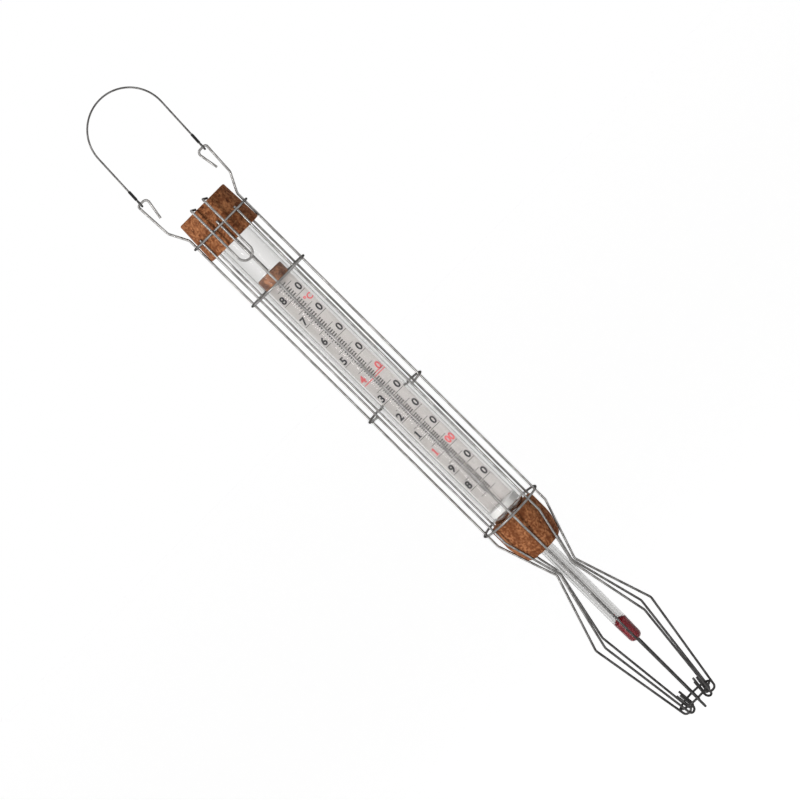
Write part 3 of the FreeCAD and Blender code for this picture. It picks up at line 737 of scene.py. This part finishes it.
def glass_material(look):
    """Clear glass with painted shade along its wall and on its stem, which lets lamp light through
    to what it holds.
    """
    material, tree, shader = new_material("clear_glass")
    # Painted shade: the glass's colour turns grey towards its grazing edges.
    facing = add_node(tree, "ShaderNodeLayerWeight", {"Blend": 0.35}).outputs["Facing"]
    tint_and_painted_shade = add_mix(tree, facing, colour(look.clear), colour(look.edge))
    # Painted shade on the stem's glass below the lower cork.
    stem = below(tree, LOWER_CORK_LOW.z, fade=2.0 * MM)
    tint_and_painted_shade = add_mix(tree, stem, tint_and_painted_shade, colour(look.stem), "MULTIPLY")
    waves = effect(tree, surface_grain, stretch=(1.0, 1.0, 0.25), scale=160.0, contrast=0.3,
                   light=grey(1.0), dark=grey(0.98), smooth=0.0, rough=0.02)
    set_input(shader, "Base Color", add_mix(tree, 1.0, tint_and_painted_shade, waves["Color"], "MULTIPLY"))
    set_input(shader, "Roughness", waves["Roughness"])
    set_input(shader, "Transmission Weight", 1.0)
    set_input(shader, "IOR", 1.47)
    set_input(shader, "Specular Tint", grey(0.08))
    add_bump(tree, shader, waves["Height"], 0.02 * MM)
    clear_to_lamps = add_node(tree, "ShaderNodeBsdfTransparent", {"Color": colour(look.clear)})
    shadow_ray = add_node(tree, "ShaderNodeLightPath").outputs["Is Shadow Ray"]
    both = add_node(tree, "ShaderNodeMixShader", {
        0: shadow_ray, 1: shader.outputs[0], 2: clear_to_lamps.outputs[0]})
    set_input(tree.nodes["Material Output"], "Surface", both.outputs[0])
    return material


def rounded(corners, steps=6):
    """Outline through corners (radius, height, bend), each bend worked out as an arc."""
    points = [Vector(corner[:2]) for corner in corners]
    outline = []
    for index, corner in enumerate(corners):
        if len(corner) < 3:
            outline.append(points[index])
            continue
        before = (points[index - 1] - points[index]).normalized()
        after = (points[index + 1] - points[index]).normalized()
        half = (math.pi - before.angle(after)) / 2
        arrive = points[index] + before * corner[2] * math.tan(half)
        middle = points[index] + (before + after).normalized() * corner[2] / math.cos(half)
        turn = math.copysign(2 * half, before.angle_signed(after))
        spoke = arrive - middle
        for step in range(steps + 1):
            outline.append(middle + Matrix.Rotation(turn * step / steps, 2) @ spoke)
    return outline


def with_support(outline, inset=0.15 * MM):
    """Outline with a point near each end of its long runs, so their faces shade straight."""
    points = [outline[0]]
    for start, end in zip(outline, outline[1:]):
        run = end - start
        if run.length > 4 * inset:
            step = run.normalized() * inset
            points += [start + step, end - step]
        points.append(end)
    return points


def turned_mesh(name, outline, segments=96):
    """Closed surface of revolution about the cage's axis, from an outline that ends on it."""
    turned = bmesh.new()
    rows = []
    for radius, height in with_support(outline):
        if radius < 1e-7:
            rows.append([turned.verts.new((0.0, 0.0, height))] * segments)
            continue
        rows.append([turned.verts.new((radius * math.cos(angle), radius * math.sin(angle), height))
                     for angle in (math.tau * step / segments for step in range(segments))])
    for row, following in zip(rows, rows[1:]):
        for step in range(segments):
            after = (step + 1) % segments
            ring = [row[step], row[after], following[after], following[step]]
            corners = list(dict.fromkeys(ring))
            if len(corners) > 2:
                turned.faces.new(corners).smooth = True
    bmesh.ops.recalc_face_normals(turned, faces=turned.faces)
    return mesh_of(name, turned)


def glass_outline(look):
    """Outer wall from the bulb's foot up to the jacket's mouth, then the inside back down."""
    tube_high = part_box("capillary_tube")[1]
    bulb_low, bulb_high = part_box("bulb_glass")
    jacket, _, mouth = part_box("jacket_glass")[1]
    foot, stem = LOWER_CORK_HIGH.z, bulb_high.x
    bore_in_jacket = jacket - look.jacket_wall
    lip = look.jacket_wall * 0.4
    return rounded([
        (0.0, bulb_low.z),
        (stem - look.bulb_draft, bulb_low.z, look.bulb_corner),
        (stem, bulb_high.z),
        (stem, foot, look.jacket_wall / 2),
        (jacket, foot, look.jacket_corner),
        (jacket, mouth, lip),
        (bore_in_jacket, mouth, lip),
        (bore_in_jacket, foot + look.jacket_wall, look.jacket_corner - look.jacket_wall),
        (stem - look.stem_wall, foot + look.jacket_wall, look.stem_root),
        (stem - look.stem_wall, bulb_high.z - look.bulb_cone / 2, look.stem_wall / 3),
        (tube_high.x, bulb_high.z, look.stem_wall / 3),
        (tube_high.x, tube_high.z, look.bore),
        (look.bore, tube_high.z),
        (look.bore, bulb_high.z),
        (stem - look.bulb_wall, bulb_high.z - look.bulb_cone),
        (stem - look.bulb_draft - look.bulb_wall, bulb_low.z + look.bulb_wall,
         look.bulb_corner - look.bulb_wall),
        (0.0, bulb_low.z + look.bulb_wall),
    ])


class THERMOMETER_OT_glass(bpy.types.Operator):
    """Blow the jacket, stem, capillary tube and bulb as one piece of glass"""
    bl_idname = "thermometer.glass"
    bl_label = "Blow glass"

    def execute(self, context):
        look = settings("glass")
        mesh = turned_mesh("blown_glass", glass_outline(look))
        piece = add_piece("blown_glass", mesh, CAGE, glass_material(look))
        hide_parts("jacket_glass", "capillary_tube", "bulb_glass")
        return {"FINISHED"}


class THERMOMETER_OT_liquid(bpy.types.Operator):
    """Fill the bulb and the foot of its bore with dyed liquid"""
    bl_idname = "thermometer.liquid"
    bl_label = "Fill with liquid"

    def execute(self, context):
        look = settings("glass")
        material = grain_material(
            "dyed_liquid", None, stretch=ALL_ROUND, scale=420.0, contrast=0.5,
            light=colour(look.liquid, 1.25), dark=colour(look.liquid), smooth=0.3, rough=0.4)[0]
        for node in ("bulb_liquid", "liquid_thread"):
            body = merged_copy(node)
            body.normal_update()
            for vertex in body.verts:
                vertex.co += vertex.normal * look.liquid_press
            for face in body.faces:
                face.smooth = True
            mesh = mesh_of(node + "_fill", body)
            piece = add_piece(node + "_fill", mesh, CAGE, material)
            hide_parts(node)
        return {"FINISHED"}


# ---------------------------------------------------------------- printed scale

def height_of(degree):
    """Height of a degree's line, from how the column climbs."""
    look = settings("scale")
    tens = (degree - look.base) / 10.0
    climb = look.step * tens + look.growth * tens * (tens - 1.0)
    return PLATE_LOW.z + look.base_rise + climb


def ink_material(name, ink):
    """Screen-printed ink with a slightly uneven film."""
    return grain_material(
        name, 0.004 * MM, stretch=ALL_ROUND, scale=5200.0, contrast=0.5,
        light=colour([min(1.0, 1.5 * part + 0.01) for part in ink]), dark=colour(ink),
        smooth=0.35, rough=0.6)[0]


def line_tree():
    """Printed lines: a thin bar on each point, as large as its vector says."""
    tree, given, out = new_geometry_tree("printed_lines", [("Material", "NodeSocketMaterial")])
    bar = add_node(tree, "GeometryNodeMeshCube", {"Size": (1.0, 1.0, 1.0)})
    bars = add_node(tree, "GeometryNodeInstanceOnPoints", {
        "Points": given["Geometry"], "Instance": bar.outputs[0], "Scale": point_vector(tree)})
    finish_tree(tree, bars.outputs[0], given["Material"], out)
    return tree


class THERMOMETER_OT_plate(bpy.types.Operator):
    """Give the scale plate its opal glass"""
    bl_idname = "thermometer.plate"
    bl_label = "Finish plate"

    def execute(self, context):
        plate = settings("scale").plate
        material = grain_material(
            "opal_glass", 0.02 * MM, stretch=(1.0, 1.0, 0.4), scale=300.0, contrast=0.35,
            light=colour(plate, 1.05), dark=colour(plate), smooth=0.22, rough=0.34)[0]
        give(material, "scale_plate")
        return {"FINISHED"}


class THERMOMETER_OT_lines(bpy.types.Operator):
    """Print the degree lines on the plate"""
    bl_idname = "thermometer.lines"
    bl_label = "Print lines"

    def execute(self, context):
        look = settings("scale")
        front = PLATE_LOW.y - look.ink / 2
        points, sizes = [], []
        for degree in range(look.first, look.last + 1):
            if degree == look.boil:
                continue
            reach, thick = look.one_reach, look.tick
            if degree % 10 == 0:
                reach, thick = look.ten_reach, look.line
            elif degree % 5 == 0:
                reach, thick = look.five_reach, look.line
            points.append((0.0, front, height_of(degree)))
            sizes.append((2 * reach, look.ink, thick))
        tree = line_tree()
        black = ink_material("black_ink_lines", look.black)
        mesh = run_geometry_nodes("degree_lines", points, sizes, tree, {"Material": black})
        add_piece("degree_lines", mesh, CAGE)

        level, reach, thick = height_of(look.boil), look.ten_reach, 2 * look.line
        points = [(0.0, front, level), (reach / 2, front, level + look.boil_gap)]
        sizes = [(2 * reach, look.ink, thick), (reach, look.ink, thick)]
        red = ink_material("red_ink_lines", look.red)
        mesh = run_geometry_nodes("red_lines", points, sizes, tree, {"Material": red})
        add_piece("red_lines", mesh, CAGE)
        return {"FINISHED"}


# A figure before it is scaled, in the font's own size.
FIGURE_RELIEF, FIGURE_SWELL, STROKE, STROKE_RELIEF = 0.01, 0.035, 0.07, 0.018
ONE_FOOT, ONE_FLAG, FLAG_PLACE, FLAG_TURN = 0.42, 0.24, (-0.08, -0.09), math.radians(40)

NOUGHTS_WIDTH, NOUGHTS_SHIFT = 0.84, 0.5 * MM  # the two noughts of the water mark
UNIT_SIZE, UNIT_SHIFT, UNIT_DROP = 0.78, 0.4 * MM, 5.5 * MM


def figure_mesh(text):
    """One figure as a thin closed mesh, its foot at 0 and its middle on 0."""
    curve = bpy.data.curves.new("figure", "FONT")
    curve.body = text
    curve.align_x = "CENTER"
    curve.extrude = FIGURE_RELIEF
    curve.offset = FIGURE_SWELL
    curve.resolution_u = 4
    mesh = plain_mesh(new_object("figure", curve))
    if text == "1":
        add_serifs(mesh)
    return mesh


def extent(mesh, axis):
    """Lowest and highest coordinate of a mesh along one axis."""
    values = [vertex.co[axis] for vertex in mesh.vertices]
    return min(values), max(values)


def add_serifs(mesh):
    """Give a figure one its foot and its flag."""
    middle = sum(extent(mesh, 0)) / 2
    foot, head = extent(mesh, 1)
    strokes = ((middle, foot + STROKE / 2, ONE_FOOT, 0.0),
               (middle + FLAG_PLACE[0], head + FLAG_PLACE[1], ONE_FLAG, FLAG_TURN))
    figure = bmesh.new()
    figure.from_mesh(mesh)
    for across, level, length, turn in strokes:
        place = Matrix.Translation((across, level, 0.0)) @ Matrix.Rotation(turn, 4, "Z")
        size = Matrix.Diagonal((length, STROKE, STROKE_RELIEF, 1.0))
        bmesh.ops.create_cube(figure, size=1.0, matrix=place @ size)
    figure.to_mesh(mesh)
    figure.free()


def print_figures(name, figures, material):
    """Join figures (text, across, foot, width, height) into one printed piece."""
    look = settings("scale")
    nought = figure_mesh("0")
    left, right = extent(nought, 0)
    foot, head = extent(nought, 1)
    wide = look.figure_width / (right - left)
    tall = look.figure_height / (head - foot)
    flat = look.ink / (2 * FIGURE_RELIEF)
    together = bmesh.new()
    stand = Matrix.Rotation(math.radians(90), 4, "X")
    for text, across, level, width, height in figures:
        mesh = figure_mesh(text)
        shrink = Matrix.Diagonal((wide * width, tall * height, flat, 1.0))
        place = Matrix.Translation((across, PLATE_LOW.y - look.ink / 2, level))
        mesh.transform(place @ stand @ shrink @ Matrix.Translation((0.0, -foot, 0.0)))
        together.from_mesh(mesh)
    bmesh.ops.remove_doubles(together, verts=together.verts, dist=1e-7)
    bmesh.ops.recalc_face_normals(together, faces=together.faces)
    add_piece(name, mesh_of(name, together), CAGE, material)


class THERMOMETER_OT_figures(bpy.types.Operator):
    """Print the figures on the plate, in black and red"""
    bl_idname = "thermometer.figures"
    bl_label = "Print figures"

    def execute(self, context):
        look = settings("scale")
        black, red = [], []
        for degree in range(look.base, look.top + 1, 10):
            level = height_of(degree) + look.figure_rise
            ink = red if degree in (look.water, look.boil) else black
            if degree == look.water:
                ink.append(("1", -look.figure_place, level, 1.0, 1.0))
                ink.append(("00", look.figure_place - NOUGHTS_SHIFT, level, NOUGHTS_WIDTH, 1.0))
                continue
            ink.append((str(degree)[-2], -look.figure_place, level, 1.0, 1.0))
            ink.append(("0", look.figure_place, level, 1.0, 1.0))
        unit_level = height_of(look.top) - UNIT_DROP
        red.append(("°C", look.figure_place - UNIT_SHIFT, unit_level, UNIT_SIZE, UNIT_SIZE))
        print_figures("figures_black", black, ink_material("black_ink", look.black))
        print_figures("figures_red", red, ink_material("red_ink", look.red))
        return {"FINISHED"}


# ---------------------------------------------------------------- stage

# Each lamp's setting, place and width; all are equally tall.
LAMPS = (("key", (-0.50, -0.87, -0.05), 0.16), ("left", (-0.97, 0.26, -0.15), 0.40),
         ("right", (0.91, 0.42, -0.15), 0.30))
LAMP_HEIGHT = 1.0
FLOOR_REACH, FLOOR_GLOW = 6.0, 0.75


def add_lamp(name, power, place, aim, width):
    """Soft tall lamp aimed at a point."""
    data = bpy.data.lights.new(name, "AREA")
    data.shape = "RECTANGLE"
    data.size = width
    data.size_y = LAMP_HEIGHT
    data.energy = power
    lamp = new_object(name, data)
    lamp.location = place
    lamp.rotation_euler = (aim - place).to_track_quat("-Z", "Y").to_euler()


def seen_white(tree):
    """1 for camera, mirror and glass rays, which see the background as white."""
    path = add_node(tree, "ShaderNodeLightPath").outputs
    either = add_math(tree, "MAXIMUM", path["Is Camera Ray"], path["Is Glossy Ray"])
    return add_math(tree, "MAXIMUM", either, path["Is Transmission Ray"])


class THERMOMETER_OT_stage(bpy.types.Operator):
    """Set the camera, lamps, pale floor and white surroundings"""
    bl_idname = "thermometer.stage"
    bl_label = "Set the stage"

    def execute(self, context):
        look = settings("stage")
        scene = context.scene
        low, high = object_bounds()
        middle = Vector((0.0, 0.0, (low[2] + high[2]) / 2))

        mesh = bpy.data.meshes.new("floor")
        level = low[2] - look.floor_drop
        corners = [(FLOOR_REACH * across, FLOOR_REACH * along, level)
                   for across, along in ((-1, -1), (1, -1), (1, 1), (-1, 1))]
        mesh.from_pydata(corners, [], [(0, 1, 2, 3)])
        material, shader = grain_material(
            "pale_floor", None, stretch=ALL_ROUND, scale=400.0, contrast=0.2,
            light=grey(0.9), dark=grey(0.88), smooth=0.8, rough=0.9)
        set_input(shader, "Emission Color", grey(1.0))
        tree = material.node_tree
        glow = add_math(tree, "MULTIPLY", seen_white(tree), FLOOR_GLOW)
        set_input(shader, "Emission Strength", glow)
        mesh.materials.append(material)
        floor = new_object("floor", mesh)
        floor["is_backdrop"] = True

        world = bpy.data.worlds.new("studio")
        world.use_nodes = True
        scene.world = world
        studio = world.node_tree
        background = studio.nodes["Background"]
        set_input(background, "Color", grey(1.0))
        set_input(background, "Strength", add_range(studio, seen_white(studio), look.ambient, 1.0))

        for name, place, width in LAMPS:
            add_lamp(name + "_lamp", getattr(look, name), Vector(place), middle, width)

        towards = Vector((math.sin(look.turn), -math.cos(look.turn), 0.0))
        rightwards = Vector((math.cos(look.turn), math.sin(look.turn), 0.0))
        aim = rightwards * look.aim_side + Vector((0.0, 0.0, look.aim_height))
        place = towards * look.distance + Vector((0.0, 0.0, look.camera_height))
        data = bpy.data.cameras.new("camera")
        data.lens = look.lens
        data.clip_start = 0.05
        camera = new_object("camera", data)
        level_turn = (aim - place).to_track_quat("-Z", "Y").to_matrix().to_4x4()
        roll = Matrix.Rotation(-look.roll, 4, "Z")
        camera.matrix_world = Matrix.Translation(place) @ level_turn @ roll
        scene.camera = camera
        scene.view_settings.view_transform = "Standard"
        return {"FINISHED"}


# ---------------------------------------------------------------- add-on

OPERATORS = (THERMOMETER_OT_wires, THERMOMETER_OT_welds, THERMOMETER_OT_sleeves,
             THERMOMETER_OT_corks, THERMOMETER_OT_pad, THERMOMETER_OT_glass,
             THERMOMETER_OT_liquid, THERMOMETER_OT_plate, THERMOMETER_OT_lines,
             THERMOMETER_OT_figures, THERMOMETER_OT_stage)


class THERMOMETER_PT_panel(bpy.types.Panel):
    """Buttons for each piece, and the settings that they use"""
    bl_label = "Sugar Thermometer"
    bl_idname = "THERMOMETER_PT_panel"
    bl_space_type = "VIEW_3D"
    bl_region_type = "UI"
    bl_category = "Thermometer"

    def draw(self, context):
        for operator in OPERATORS:
            self.layout.operator(operator.bl_idname)
        for group, kind in SETTINGS.items():
            box = self.layout.box()
            box.label(text=group.capitalize())
            for name in kind.__annotations__:
                box.prop(settings(group), name)


CLASSES = (*SETTINGS.values(), *OPERATORS, THERMOMETER_PT_panel)


def register():
    for kind in CLASSES:
        bpy.utils.register_class(kind)
    for group, kind in SETTINGS.items():
        setattr(bpy.types.Scene, "thermometer_" + group, PointerProperty(type=kind))


def unregister():
    for group in SETTINGS:
        delattr(bpy.types.Scene, "thermometer_" + group)
    for kind in reversed(CLASSES):
        bpy.utils.unregister_class(kind)


def main():
    """Make every piece in order."""
    register()
    for operator in OPERATORS:
        family, name = operator.bl_idname.split(".")
        getattr(getattr(bpy.ops, family), name)()


if __name__ == "__main__":
    main()
